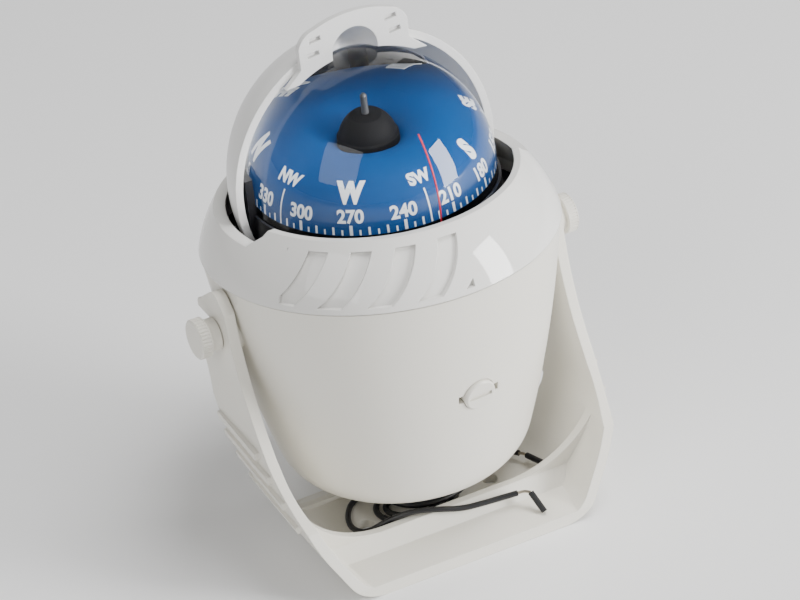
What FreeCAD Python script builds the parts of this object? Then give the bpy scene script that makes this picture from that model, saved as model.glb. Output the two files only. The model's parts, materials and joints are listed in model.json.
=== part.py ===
import FreeCAD, Part
import math
import os
import Sketcher
from FreeCAD import Placement, Rotation, Vector

# A marine bracket compass: a white bowl with a clear dome hangs between the two arms of a
# U-shaped bracket.  Millimetres.  The origin is the middle of the bracket's underside, +X is
# along the tilt axis, -Y is the side that the dial is read from, and +Z is up.
# Pieces of the bowl are drawn in the bowl's own frame, whose origin is the middle of the tilt
# axis and whose Z is the axis of the dome, and then leaned back by the resting tilt.

doc = FreeCAD.newDocument("Compass")
sheet = doc.addObject("Spreadsheet::Sheet", "Sizes")

DRIVING = [
    # name, millimetres or degrees, what it is
    ("pivot_y", 21.4, "tilt axis behind the middle of the base"),
    ("pivot_z", 76.5, "tilt axis above the underside"),
    ("rest_tilt", 5.47, "lean of the bowl at rest, top towards the back"),
    ("base_depth", 54.0, "bracket underside, front to back"),
    ("base_half", 31.0, "half width of the flat underside"),
    ("arm_wall", 3.3, "thickness of the bracket's arms"),
    ("floor_wall", 3.0, "thickness of the bracket's floor"),
    ("corner_bend", 13.0, "radius of the bracket's lower outside corner"),
    ("slope_x", 46.9, "outside of the arm where its lower slope ends"),
    ("slope_z", 14.5, "height of that point"),
    ("shoulder_x", 55.6, "outside of the arm where its bend ends"),
    ("shoulder_z", 44.0, "height of that point"),
    ("arm_top_x", 57.0, "outside of the arm at its top"),
    ("arm_top_z", 91.5, "height of the arm"),
    ("arm_bend", 66.0, "radius of the arm's outside bend"),
    ("rim_wall_z", 10.5, "height of the wall in front of the lead pocket"),
    ("hole_x", 21.5, "mounting hole from the middle"),
    ("hole_y", 3.6, "mounting hole in front of or behind the middle"),
    ("hole_r", 2.5, "radius of a mounting hole"),
    ("eye_r", 3.4, "radius of the arm's eye"),
    ("spigot_r", 3.33, "radius of the knob's spigot in that eye"),
    ("seam_r", 54.5, "outer radius of the collar at its seam"),
    ("seam_z", 15.8, "height of the seam over the tilt axis"),
    ("bowl_top_r", 54.1, "outer radius of the bowl at the seam"),
    ("bowl_low_r", 39.3, "outer radius of the bowl where its bottom bend starts"),
    ("bowl_low_z", -51.5, "height of that point"),
    ("bowl_flat_r", 23.0, "radius of the bowl's flat bottom"),
    ("bowl_flat_z", -63.6, "height of the bowl's underside"),
    ("bowl_bulge", 400.0, "radius of the bowl's side seen from the front"),
    ("bowl_bend", 17.0, "radius of the bowl's bottom bend"),
    ("bowl_wall", 2.6, "thickness of the bowl's wall"),
    ("rim_r", 44.0, "outer radius of the collar's top face"),
    ("rim_in", 42.0, "inner radius of the collar's top face"),
    ("rim_z", 34.7, "height of the collar's top face"),
    ("collar_bulge", 42.0, "radius of the collar's outside seen from the front"),
    ("collar_back_z", 29.5, "height of the collar behind the hood's ends"),
    ("dome_r", 37.0, "outer radius of the dome"),
    ("dome_in", 34.8, "inner radius of the dome"),
    ("dome_z", 35.5, "centre of the dome over the tilt axis"),
    ("flange_r", 41.4, "outer radius of the capsule's flanges"),
    ("hood_r", 43.2, "outer radius of the hood"),
    ("hood_in", 40.8, "inner radius of the hood"),
    ("hood_front", 3.5, "rim of the hood behind the middle of the dome"),
    ("hood_low", -14.0, "lower edge of the hood from the middle of the dome"),
    ("tab_wall", 1.9, "thickness of the hood's thumb tab"),
    ("front_turn", 4.7, "turn of the lamp holder and lubber line to the right of the middle"),
    ("holder_z", -21.3, "height of the lamp holder"),
    ("holder_r", 5.15, "radius of the lamp holder"),
    ("lead_r", 0.9, "radius of a lead"),
    ("knob_r", 6.2, "radius of a clamp knob"),
    ("knob_face", 64.0, "outer face of a clamp knob from the middle"),
]

numbers = {}
for row, (name, number, note) in enumerate(DRIVING, start=1):
    sheet.set(f"A{row}", name)
    sheet.set(f"B{row}", str(number))
    sheet.set(f"C{row}", note)
    sheet.setAlias(f"B{row}", name)
    numbers[name] = number
doc.recompute()


class Size:
    """A size that knows its number and the sheet expression that gives that number."""

    def __init__(self, number, text=None):
        self.number = float(number)
        self.text = text if text is not None else f"{float(number):.6f}"

    def joined(self, other, sign, number):
        return Size(number, f"({self.text} {sign} {other.text})")

    def __add__(self, other):
        other = as_size(other)
        return self.joined(other, "+", self.number + other.number)

    def __sub__(self, other):
        other = as_size(other)
        return self.joined(other, "-", self.number - other.number)

    def __mul__(self, other):
        other = as_size(other)
        return self.joined(other, "*", self.number * other.number)

    def __neg__(self):
        return Size(-self.number, f"(0 - {self.text})")

    __radd__ = __add__
    __rmul__ = __mul__


def as_size(thing):
    return thing if isinstance(thing, Size) else Size(thing)


class Sizes:
    """The sheet's sizes by name: S.dome_r and so on."""

    def __getattr__(self, name):
        return Size(numbers[name], f"Sizes.{name}")


S = Sizes()
parts = []


def bind(thing, path, size):
    """Give a property its number and bind it to the sheet."""
    thing.setExpression(path, as_size(size).text)


def place(thing, x=0, y=0, z=0, turn=None):
    """Put a primitive at a place worked out from the sheet."""
    base = Vector(as_size(x).number, as_size(y).number, as_size(z).number)
    thing.Placement = Placement(base, turn or Rotation())
    for axis, size in zip("xyz", (x, y, z)):
        if isinstance(size, Size):
            bind(thing, f"Placement.Base.{axis}", size)
    return thing


X_TURN = Rotation(Vector(0, 1, 0), 90)       # a cylinder's axis along +X
FRONT_PLANE = Rotation(Vector(1, 0, 0), 90)  # sketch x along X, y along Z, normal -Y
SIDE_PLANE = Rotation(Vector(1, 1, 1), 120)  # sketch x along Y, y along Z, normal +X


def cylinder(name, radius, height, x=0, y=0, z=0, turn=None):
    thing = doc.addObject("Part::Cylinder", name)
    bind(thing, "Radius", radius)
    bind(thing, "Height", height)
    return place(thing, x, y, z, turn)


def ball(name, radius, x=0, y=0, z=0):
    thing = doc.addObject("Part::Sphere", name)
    bind(thing, "Radius", radius)
    return place(thing, x, y, z)


def block(name, length, width, height, x=0, y=0, z=0, turn=None):
    thing = doc.addObject("Part::Box", name)
    bind(thing, "Length", length)
    bind(thing, "Width", width)
    bind(thing, "Height", height)
    return place(thing, x, y, z, turn)


def cut(name, base, *tools):
    thing = doc.addObject("Part::Cut", name)
    thing.Base = base
    thing.Tool = tools[0] if len(tools) == 1 else fuse(name + "_tools", *tools)
    return thing


def fuse(name, *shapes):
    thing = doc.addObject("Part::MultiFuse", name)
    thing.Shapes = list(shapes)
    return thing


def common(name, *shapes):
    thing = doc.addObject("Part::MultiCommon", name)
    thing.Shapes = list(shapes)
    return thing


def mirrored(name, source):
    """The same piece on the other side of the YZ plane."""
    thing = doc.addObject("Part::Mirroring", name)
    thing.Source = source
    thing.Normal = Vector(1, 0, 0)
    return thing


def arc_between(start, end, radius):
    """An arc from start to end; a positive radius turns left on the way."""
    chord = end - start
    reach = chord.Length / 2
    drop = math.sqrt(max(radius * radius - reach * reach, 0))
    side = Vector(-chord.y, chord.x, 0).normalize()
    centre = start + chord * 0.5 + side * (drop if radius > 0 else -drop)
    first, last = (start, end) if radius > 0 else (end, start)
    a = math.atan2(first.y - centre.y, first.x - centre.x)
    b = math.atan2(last.y - centre.y, last.x - centre.x)
    if b < a:
        b += 2 * math.pi
    return Part.ArcOfCircle(Part.Circle(centre, Vector(0, 0, 1), abs(radius)), a, b)


def draw(sketch, corners, arcs=None):
    """Draw a closed outline and tie each corner to the sheet.

    corners holds (across, up) pairs; arcs gives the radius of the side that starts at a corner.
    """
    arcs = arcs or {}
    points = [Vector(as_size(a).number, as_size(b).number, 0) for a, b in corners]
    count = len(points)
    ends = []
    for i, point in enumerate(points):
        after = points[(i + 1) % count]
        if i in arcs:
            radius = as_size(arcs[i]).number
            index = sketch.addGeometry(arc_between(point, after, radius), False)
            ends.append((index, 1, 2) if radius > 0 else (index, 2, 1))
        else:
            index = sketch.addGeometry(Part.LineSegment(point, after), False)
            ends.append((index, 1, 2))
    for i in range(count):
        index, _, last = ends[i]
        after, first, _ = ends[(i + 1) % count]
        sketch.addConstraint(Sketcher.Constraint("Coincident", index, last, after, first))
    for i, (across, up) in enumerate(corners):
        index, first, _ = ends[i]
        for kind, axis, size in (("DistanceX", -2, across), ("DistanceY", -1, up)):
            size = as_size(size)
            if abs(size.number) < 1e-9:
                sketch.addConstraint(Sketcher.Constraint("PointOnObject", index, first, axis))
                continue
            number = sketch.addConstraint(
                Sketcher.Constraint(kind, -1, 1, index, first, size.number))
            sketch.setExpression(f"Constraints[{number}]", size.text)
    for i, radius in arcs.items():
        number = sketch.addConstraint(
            Sketcher.Constraint("Radius", ends[i][0], abs(as_size(radius).number)))
        if isinstance(radius, Size):
            text = radius.text if radius.number > 0 else f"(0 - {radius.text})"
            sketch.setExpression(f"Constraints[{number}]", text)


def ring(sketch, x, y, radius):
    """Draw a full circle tied to the sheet."""
    x, y, radius = as_size(x), as_size(y), as_size(radius)
    circle = Part.Circle(Vector(x.number, y.number, 0), Vector(0, 0, 1), radius.number)
    index = sketch.addGeometry(circle, False)
    for kind, size in (("DistanceX", x), ("DistanceY", y)):
        if abs(size.number) < 1e-9:
            axis = -2 if kind == "DistanceX" else -1
            sketch.addConstraint(Sketcher.Constraint("PointOnObject", index, 3, axis))
        else:
            number = sketch.addConstraint(Sketcher.Constraint(kind, -1, 1, index, 3, size.number))
            sketch.setExpression(f"Constraints[{number}]", size.text)
    number = sketch.addConstraint(Sketcher.Constraint("Radius", index, radius.number))
    sketch.setExpression(f"Constraints[{number}]", radius.text)


def origin_plane(body, role):
    return next(o for o in body.Origin.OriginFeatures if o.Role == role)


def body_sketch(body, name, role):
    sketch = body.newObject("Sketcher::SketchObject", name)
    sketch.AttachmentSupport = (origin_plane(body, role), [""])
    sketch.MapMode = "FlatFace"
    return sketch


def turned(name, corners, arcs=None, axis="V_Axis"):
    """A body turned on a lathe: an outline in the front plane, revolved about its axis."""
    body = doc.addObject("PartDesign::Body", name)
    sketch = body_sketch(body, name + "_outline", "XZ_Plane")
    draw(sketch, corners, arcs)
    feature = body.newObject("PartDesign::Revolution", name + "_turn")
    feature.Profile = sketch
    feature.ReferenceAxis = (sketch, [axis])
    feature.Angle = 360
    body.Tip = feature
    sketch.Visibility = False
    return body


def slab(name, corners, arcs, length, turn, x=0, y=0, z=0, symmetric=False):
    """An outline drawn on a plane and pulled out along that plane's normal."""
    sketch = doc.addObject("Sketcher::SketchObject", name + "_outline")
    draw(sketch, corners, arcs)
    place(sketch, x, y, z, turn)
    thing = doc.addObject("Part::Extrusion", name)
    thing.Base = sketch
    thing.DirMode = "Normal"
    thing.Solid = True
    thing.Symmetric = symmetric
    bind(thing, "LengthFwd", length)
    return thing


def keep(thing, label, placement=None):
    """Name a finished piece; its file takes this name."""
    if placement is not None:
        thing.Placement = placement.multiply(thing.Placement)
    thing.Label = label
    parts.append(thing)
    return thing


BOWL = Placement(Vector(0, S.pivot_y.number, S.pivot_z.number),
                 Rotation(Vector(1, 0, 0), -S.rest_tilt.number))
SLOPE = math.radians(60)                     # the arm's lower slope from the ground
WHOLE = 200.0                                # longer than the whole compass

# Sizes and counts of single parts, in millimetres and degrees.
POCKET_R = 52.0               # inside of the bowl's mouth, where the carrier ring sits
ARM_REACH = 18.5              # the arm's top stays within this distance of the tilt axis
LEAD_EXIT_Y = -6.0            # the leads leave the bowl's underside here
LEAD_GAP = 1.15               # half the space between the two leads
SEAM_GAP = 0.4                # height of the open seam between the collar and the bowl
FIN_COUNT = 6
FIN_STEP = 15.8               # degrees from one recess to the next
FIN_FIRST = -17.1             # the first recess's top, to the left of the front
FIN_LEFT, FIN_RIGHT = 60.0, -3.5     # degrees from the front, positive to the left
FIN_LOW, FIN_HIGH = 17.8, 32.2
SCREW_RING = 39.52            # radius of the capsule's screw circle
SCREW_COUNT = 8
GUIDE_R = 12.0                # the hood's guide pins run this far from its axis
GUIDE_LOW, GUIDE_HIGH = -62.0, -44.0     # degrees from straight back, at rest
CLAMP_SCREWS = 6
FILL_Y = 22.2                 # the fill plug, behind the basin's middle
BRIDGE_WINDOWS = 6
NEEDLE_Z = 41.65              # height of the needle's point
HUB_R = 6.7
CREST_R, CREST_Z = 13.9, 9.9  # the card's crest, and its height over the dome's centre
CARD_NORTH = 40.3             # turn of the card at rest
LUBBER_TURN = 6.5
SCOOP_R = 7.4                 # radius of the thumb scoop in the hood's tab
SCOOP_Z = 38.4                # its middle over the middle of the dome
KNOB_FLUTES = 36
LEFT_DROP = [(-1.15, 8.81, 7.94), (-1.2, 8.75, 6.3), (-1.9, 8.78, 4.9), (-3.2, 8.85, 4.05),
             (-6.3, 8.9, 3.93), (-9.9, 9.1, 3.93)]
LEFT_RUN = [(-5.5, 16.4, 3.93), (-13.0, 16.8, 3.95), (-20.4, 15.4, 4.05), (-25.2, 9.4, 4.1),
            (-27.4, 2.4, 4.4), (-25.4, -4.2, 6.0), (-19.6, -6.9, 10.0), (-12.6, -10.4, 13.0),
            (-5.4, -12.9, 12.4), (2.2, -14.6, 10.6), (9.0, -15.4, 10.4), (15.0, -15.9, 10.3),
            (20.3, -16.7, 10.5)]
LEFT_STRANDS = [(20.3, -16.7, 10.5), (22.5, -17.35, 10.75), (24.1, -18.2, 10.2)]
LEFT_SLEEVE = [(24.1, -18.2, 10.2), (25.8, -23.3, 5.4)]
RIGHT_DROP = [(1.15, 8.81, 7.94), (1.17, 8.8, 7.02), (1.63, 8.8, 6.23), (2.42, 8.82, 5.77),
              (4.2, 8.9, 5.77), (7.2, 9.1, 5.77), (9.9, 9.5, 5.77)]
RIGHT_RUN = [(5.0, 18.3, 5.77), (12.0, 17.9, 5.75), (19.2, 15.8, 5.4), (26.2, 13.2, 5.4),
             (32.0, 10.0, 6.0), (33.6, 6.1, 6.5)]
RIGHT_STRANDS = [(33.6, 6.1, 6.5), (34.4, 4.9, 6.9), (34.9, 3.4, 6.8)]
RIGHT_SLEEVE = [(34.9, 3.4, 6.8), (37.2, -5.4, 7.5)]
LEAD_END_Z = -69.0            # where the leads pass from the bowl's keeping to the bracket's


def arm_outline(inset, low_z, bend):
    """Front view of the bracket's outside, or of its inside when inset is the wall."""
    top_z = S.arm_top_z + (8.0 if inset else 0.0)
    foot_z = S.corner_bend * (1 - math.cos(SLOPE)) + as_size(inset) * math.cos(SLOPE)
    foot_x = S.base_half + S.corner_bend * math.sin(SLOPE) - as_size(inset) * math.sin(SLOPE)
    flat_x = foot_x - as_size(bend) * math.sin(SLOPE)
    slope_x = S.slope_x - as_size(inset) * math.sin(SLOPE)
    slope_z = S.slope_z + as_size(inset) * math.cos(SLOPE)
    shoulder_x = S.shoulder_x - inset
    top_x = S.arm_top_x - inset
    right = [(flat_x, low_z), (foot_x, foot_z), (slope_x, slope_z),
             (shoulder_x, S.shoulder_z), (top_x, top_z)]
    corners = right + [(-as_size(x), z) for x, z in reversed(right)]
    arcs = {0: bend, 2: S.arm_bend, 6: S.arm_bend, 8: bend}
    return corners, arcs


def make_bracket():
    """The U-shaped bracket: two leaning arms and a base with a pocket for the leads."""
    front_y = S.base_depth * -0.5
    back_y = S.base_depth * 0.5
    outside = slab("bracket_outside", *arm_outline(0.0, 0.0, S.corner_bend),
                   S.base_depth + 40.0, FRONT_PLANE, symmetric=True)
    side = slab("bracket_side", [
        (front_y, 0.0), (back_y, 0.0), (back_y, 2.6), (S.pivot_y + 0.6, 6.5),
        (15.6, 20.0), (15.6, 27.0), (31.0, 49.0), (33.1, 60.5), (33.1, 81.2),
        (31.2, 83.6), (22.6, 90.2), (17.0, 89.4), (13.9, 86.5), (-21.4, 26.5),
        (front_y, 4.1),
    ], {2: -14.0, 3: -14.0, 4: -9.0, 6: -40.0, 8: 2.4, 10: 4.6, 12: -90.0},
        WHOLE, SIDE_PLANE, symmetric=True)
    body = common("bracket_blank", outside, side)

    # The space between the arms, open to the front and back above the pocket's wall.
    inner_bend = (S.corner_bend * (1 - math.cos(SLOPE)) + S.arm_wall * math.cos(SLOPE)
                  - S.floor_wall) * (1 / (1 - math.cos(SLOPE)))
    inside = slab("bracket_inside", *arm_outline(S.arm_wall, S.floor_wall, inner_bend),
                  WHOLE, FRONT_PLANE, symmetric=True)
    mouth = mouth_slab()
    wall_back_y = S.pivot_y - 31.0
    pocket = slab("pocket_side", [
        (wall_back_y, 0.0), (S.pivot_y - 1.6, 0.0), (S.pivot_y - 1.6, 50.0),
        (wall_back_y - 2.0, 50.0), (wall_back_y + 0.6, S.rim_wall_z),
    ], None, WHOLE, SIDE_PLANE, symmetric=True)
    apron = slab("apron_side", [
        (front_y - 10.0, 4.1), (front_y, 4.1), (S.pivot_y - 36.0, 5.4),
        (S.pivot_y - 32.8, S.rim_wall_z), (S.pivot_y - 38.0, 50.0), (front_y - 10.0, 50.0),
    ], None, WHOLE, SIDE_PLANE, symmetric=True)
    back = slab("back_side", [
        (S.pivot_y + 0.6, 4.6), (back_y, 2.6), (back_y + 10.0, 2.6), (back_y + 10.0, 50.0),
        (S.pivot_y + 0.6, 50.0),
    ], None, WHOLE, SIDE_PLANE, symmetric=True)
    lip = slab("lip_side", [
        (S.pivot_y - 1.7, 4.6), (S.pivot_y + 0.7, 4.6), (S.pivot_y + 0.7, 50.0),
        (S.pivot_y - 1.7, 50.0),
    ], None, WHOLE, SIDE_PLANE, symmetric=True)
    zones = fuse("inside_zones", pocket, apron, back, lip)
    hollow = common("bracket_hollow", inside, zones)

    # Eyes for the knobs, open to the back, and the two mounting holes.
    eye = cylinder("eye_bore", S.eye_r, WHOLE, x=-WHOLE / 2, y=S.pivot_y, z=S.pivot_z, turn=X_TURN)
    slot = block("eye_slot", WHOLE, 20.0, S.eye_r * 2, x=-WHOLE / 2, y=S.pivot_y,
                 z=S.pivot_z - S.eye_r)
    holes = [cylinder(f"hole_{side}", S.hole_r, 20.0, x=S.hole_x * side, y=S.hole_y, z=-5.0)
             for side in (-1, 1)]
    shell = cut("bracket_shell", body, hollow, mouth, eye, slot, *holes)
    ribs = [rib for number in range(len(RIBS)) for rib in make_rib(number)]
    bracket = fuse("bracket", shell, *ribs)
    bracket.Refine = True
    keep(bracket, "bracket")


def mouth_slab():
    """The open space above the pocket's wall, with wide round lower corners."""
    bend = 30.0
    top_x = S.arm_top_x - S.arm_wall
    shoulder_x = S.shoulder_x - S.arm_wall
    start_z = S.rim_wall_z + bend * 0.99
    right = [(shoulder_x - bend, S.rim_wall_z), (shoulder_x - 0.25, start_z),
             (shoulder_x, S.shoulder_z), (top_x, S.arm_top_z + 8.0)]
    corners = right + [(-as_size(x), z) for x, z in reversed(right)]
    return slab("bracket_mouth", corners, {0: bend, 6: bend}, WHOLE, FRONT_PLANE, symmetric=True)


# Raised ribs low on the outside of each arm: height, back end, front end, arm's outside there,
# and the arm's lean there in degrees from upright.
RIBS = [
    (43.6, 28.2, 1.0, 55.55, 5.0),
    (38.2, 25.8, -5.0, 54.95, 9.0),
    (32.4, 21.4, -11.5, 53.75, 14.5),
    (25.2, 18.4, -15.0, 51.55, 20.5),
]


def make_rib(number):
    """One rib on each arm, proud at the back and sinking into the arm at the front."""
    z, back, front, outside, lean = RIBS[number]
    proud, sunk, tall = 0.8, 2.4, 2.6
    fade = math.degrees(math.atan2(proud, back - front))
    turn = Rotation(Vector(0, 1, 0), lean).multiply(Rotation(Vector(0, 0, 1), fade))
    rib = block(f"rib_{number}_bar", sunk, back - front, tall)
    rib.Placement = Placement(Vector(outside, back, z), turn).multiply(
        Placement(Vector(proud - sunk, front - back, -tall / 2), Rotation()))
    end = doc.addObject("Part::Fillet", f"rib_{number}")
    end.Base = rib
    rib.recompute()
    ends = []
    for index, edge in enumerate(rib.Shape.Edges, start=1):
        middle = rib.Placement.inverse().multVec(edge.CenterOfMass)
        along_x = abs(middle.x - sunk / 2) < 1e-6
        if along_x and middle.y > 1.0:
            ends.append((index, 1.2, 1.2))
    end.Edges = ends
    return [end, mirrored(f"rib_{number}_left", end)]


FRONT = Rotation(Vector(0, 0, 1), S.front_turn.number)   # turns -Y to the front of the dial
HOLDER_DROP = 15.0                                       # the lamp holder points this far down
HOLDER_OUT = 47.42                                       # bowl's outer radius at the holder
HOLDER = Placement(
    FRONT.multVec(Vector(0, -HOLDER_OUT, S.holder_z.number)),
    FRONT.multiply(Rotation(Vector(1, 0, 0), 90 + HOLDER_DROP)))   # local Z points outwards


def make_bowl():
    """The white bowl, with bosses for the pivots and the lamp holder."""
    low_in_r = S.bowl_low_r - S.bowl_wall
    shell = turned("bowl_turning", [
        (0.0, S.bowl_flat_z), (S.bowl_flat_r, S.bowl_flat_z), (S.bowl_low_r, S.bowl_low_z),
        (S.bowl_top_r, S.seam_z), (POCKET_R, S.seam_z),
        (POCKET_R, 11.5), (S.bowl_top_r - 4.2, 11.5), (low_in_r, S.bowl_low_z + 0.8),
        (S.bowl_flat_r, S.bowl_flat_z + S.bowl_wall), (0.0, S.bowl_flat_z + S.bowl_wall),
    ], {1: S.bowl_bend, 2: S.bowl_bulge, 6: -600.0, 7: -(S.bowl_bend - S.bowl_wall)})
    bosses = []
    for side in (-1, 1):
        bosses.append(cylinder(f"pivot_boss_{side}", 6.6, 10.6,
                               x=41.9 if side > 0 else -52.5, turn=X_TURN))
    holder_boss = cylinder("holder_boss", 9.0, 5.0)
    holder_boss.Placement = HOLDER.multiply(Placement(Vector(0, 0, -5.0), Rotation()))
    outside = turned("bowl_outside", [
        (0.0, S.bowl_flat_z), (S.bowl_flat_r, S.bowl_flat_z), (S.bowl_low_r, S.bowl_low_z),
        (S.bowl_top_r, S.seam_z), (0.0, S.seam_z)], {1: S.bowl_bend, 2: S.bowl_bulge})
    boss_inside = common("holder_boss_inside", holder_boss, outside)
    body = fuse("bowl_blank", shell, *bosses, boss_inside)
    flats = []
    for side in (-1, 1):
        flats.append(cylinder(f"pivot_flat_{side}", 8.0, 5.0,
                              x=52.5 if side > 0 else -57.5, turn=X_TURN))
        flats.append(cylinder(f"arm_recess_{side}", ARM_REACH, 5.0,
                              x=52.75 if side > 0 else -57.75, turn=X_TURN))
        flats.append(cylinder(f"insert_seat_{side}", 3.6, 14.0,
                              x=41.0 if side > 0 else -55.0, turn=X_TURN))
    bore = cylinder("holder_bore", S.holder_r + 0.15, 12.0)
    bore.Placement = HOLDER.multiply(Placement(Vector(0, 0, -6.0), Rotation()))
    notch = block("holder_notch", 13.8, 2.6, 12.0)
    notch.Placement = HOLDER.multiply(Placement(Vector(-6.9, -1.3, -6.0), Rotation()))
    grommet_seat = cylinder("grommet_seat", 3.4, 8.0, y=LEAD_EXIT_Y, z=S.bowl_flat_z - 2.0)
    keep(cut("bowl_shell", body, *flats, bore, notch, grommet_seat), "bowl_shell", BOWL)


def make_collar():
    """The white collar round the dome, cut lower at the back, with slanted fins at the left."""
    ring_body = turned("collar_turning", [
        (S.seam_r, S.seam_z + SEAM_GAP), (S.rim_r, S.rim_z), (S.rim_in, S.rim_z),
        (S.rim_in, S.rim_z - 1.8), (S.rim_in + 1.3, S.rim_z - 2.6), (50.3, 18.8), (50.9, 14.2),
        (POCKET_R - 0.1, 14.2), (POCKET_R - 0.1, S.seam_z), (S.seam_r - 1.4, S.seam_z),
        (S.seam_r - 1.4, S.seam_z + SEAM_GAP),
    ], {0: S.collar_bulge})
    low_back = slab("collar_low_back", [
        (-14.4, S.rim_z + 1.0), (-13.6, S.rim_z - 1.6), (-9.4, S.collar_back_z),
        (70.0, S.collar_back_z), (70.0, S.rim_z + 1.0),
    ], None, WHOLE, SIDE_PLANE, symmetric=True)
    # Recesses between the fins: slanted windows pushed in to a fixed depth under the outside.
    depth = 1.6
    inside = turned("fin_floor", [
        (0.0, S.seam_z - 1.0), (S.seam_r - depth + 0.65, S.seam_z - 1.0),
        (S.rim_r - depth - 0.65, S.rim_z + 1.0), (0.0, S.rim_z + 1.0),
    ], {1: S.collar_bulge})
    panel = fin_panel()
    windows = []
    for number in range(FIN_COUNT):
        windows.append(fin_window(number))
    layer = cut("fin_layer", panel, inside)
    recess = common("fin_recess", layer, fuse("fin_windows", *windows))
    keep(cut("collar", ring_body, low_back, recess), "collar", BOWL)


def turn_left(angle):
    """Turn about the bowl's axis, from the front towards the left."""
    return Rotation(Vector(0, 0, 1), -angle)


def fin_panel():
    """The sector of the collar that holds the fins."""
    reach = 90.0
    corners = [(0.0, 0.0)]
    for angle in (FIN_LEFT, (FIN_LEFT + FIN_RIGHT) / 2, FIN_RIGHT):
        turn = math.radians(angle)
        corners.append((-reach * math.sin(turn), -reach * math.cos(turn)))
    return slab("fin_panel", corners, None, FIN_HIGH - FIN_LOW, Rotation(), z=FIN_LOW)


def fin_window(number):
    """One recess: a leaning window with bowed sides, pulled outwards from the bowl's axis."""
    wide, lean, bow = 7.0, 13.6, 30.0
    low, high = FIN_LOW - 1.0, FIN_HIGH + 1.0
    angle = FIN_FIRST + FIN_STEP * number
    window = slab(f"fin_window_{number}", [
        (-lean - wide / 2, low), (-lean + wide / 2 + 0.6, low), (wide / 2 - 1.4, high),
        (-wide / 2 - 0.4, high),
    ], {1: bow, 3: -bow}, 70.0, FRONT_PLANE)
    window.Placement = Placement(Vector(), turn_left(angle))
    return window


def screw_holes(name, radius, low, high):
    """Tools for a ring of screw holes through the capsule's flanges."""
    first = cylinder(name, radius, high - low, x=SCREW_RING, z=low)
    ring_of = []
    for number in range(SCREW_COUNT):
        angle = 360.0 / SCREW_COUNT * (number + 0.5)
        spun = Placement(Vector(), Rotation(Vector(0, 0, 1), angle))
        if number == 0:
            first.Placement = spun.multiply(Placement(Vector(SCREW_RING, 0, low), Rotation()))
            ring_of.append(first)
        else:
            other = cylinder(f"{name}_{number}", radius, high - low)
            other.Placement = spun.multiply(Placement(Vector(SCREW_RING, 0, low), Rotation()))
            ring_of.append(other)
    return ring_of


def flange_part(name, label, corners, arcs=None, low=0.0, high=0.0, plugs=()):
    """A turned ring of the capsule, drilled for the capsule's screws and any plugs."""
    body = turned(name + "_turning", corners, arcs)
    holes = screw_holes(name + "_hole", 0.85, low, high)
    return keep(cut(name + "_drilled", body, *holes, *plugs), label, BOWL)


def make_capsule():
    """The oil-filled capsule: dome, bezel, gasket, basin and the ring that carries it."""
    flange_part("carrier", "carrier_ring", [
        (38.2, 11.5), (POCKET_R - 0.1, 11.5), (POCKET_R - 0.1, 14.0), (38.2, 14.0)], low=10.0, high=15.0)
    flange_part("basin", "capsule_basin", [
        (15.0, -18.0), (26.0, -18.0), (37.4, -6.0), (37.4, 14.0), (S.flange_r, 14.0),
        (S.flange_r, 15.4), (35.2, 15.4), (35.2, -5.2), (25.2, -16.0), (15.0, -16.0),
    ], low=13.0, high=16.0, plugs=[cylinder("fill_hole", 1.35, 8.0, y=FILL_Y, z=-20.0)])
    flange_part("gasket", "dome_gasket", [
        (35.2, 15.4), (S.flange_r, 15.4), (S.flange_r, 16.2), (35.2, 16.2)], low=15.0, high=17.0)
    top_z = S.dome_z + S.dome_r
    flange_part("dome", "dome", [
        (S.dome_in, 16.2), (S.flange_r, 16.2), (S.flange_r, 17.8), (S.dome_r, 17.8),
        (S.dome_r, S.dome_z), (0.0, top_z), (0.0, S.dome_z + S.dome_in), (S.dome_in, S.dome_z),
    ], {4: S.dome_r, 6: -S.dome_in}, low=15.0, high=19.0)
    make_bezel()
    make_capsule_screws()


def make_bezel():
    """The black ring round the dome, with a grooved cheek on each side to guide the hood."""
    fit_r = S.dome_r + 0.15
    body = turned("bezel_turning", [
        (fit_r, 17.8), (S.flange_r, 17.8), (S.flange_r, 19.6), (fit_r + 0.8, 19.6),
        (fit_r + 0.8, 31.0), (fit_r, 31.0)])
    cheeks = []
    grooves = []
    for side in (-1, 1):
        cheeks.append(block(f"cheek_{side}", 5.3, 11.4, 21.0, x=34.0 if side > 0 else -39.3,
                            y=3.9, z=S.dome_z - 14.0))
        outer = cylinder(f"groove_out_{side}", GUIDE_R + 0.72, 3.0,
                         x=37.7 if side > 0 else -40.7, z=S.dome_z, turn=X_TURN)
        inner = cylinder(f"groove_in_{side}", GUIDE_R - 0.72, 3.0,
                         x=37.7 if side > 0 else -40.7, z=S.dome_z, turn=X_TURN)
        grooves.append(cut(f"groove_{side}", outer, inner))
    clear = cylinder("bezel_clear", fit_r, 90.0, z=0.0)
    under_hood = ball("under_hood", S.hood_in - 0.4, z=S.dome_z)
    cheek_blank = common("cheek_blank", fuse("cheek_blocks", *cheeks), under_hood)
    cheek_pair = cut("cheek_pair", cheek_blank, clear, *grooves)
    whole = fuse("bezel_whole", body, cheek_pair)
    holes = screw_holes("bezel_hole", 0.85, 17.0, 20.0)
    keep(cut("bezel_drilled", whole, *holes), "bezel_ring", BOWL)


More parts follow.
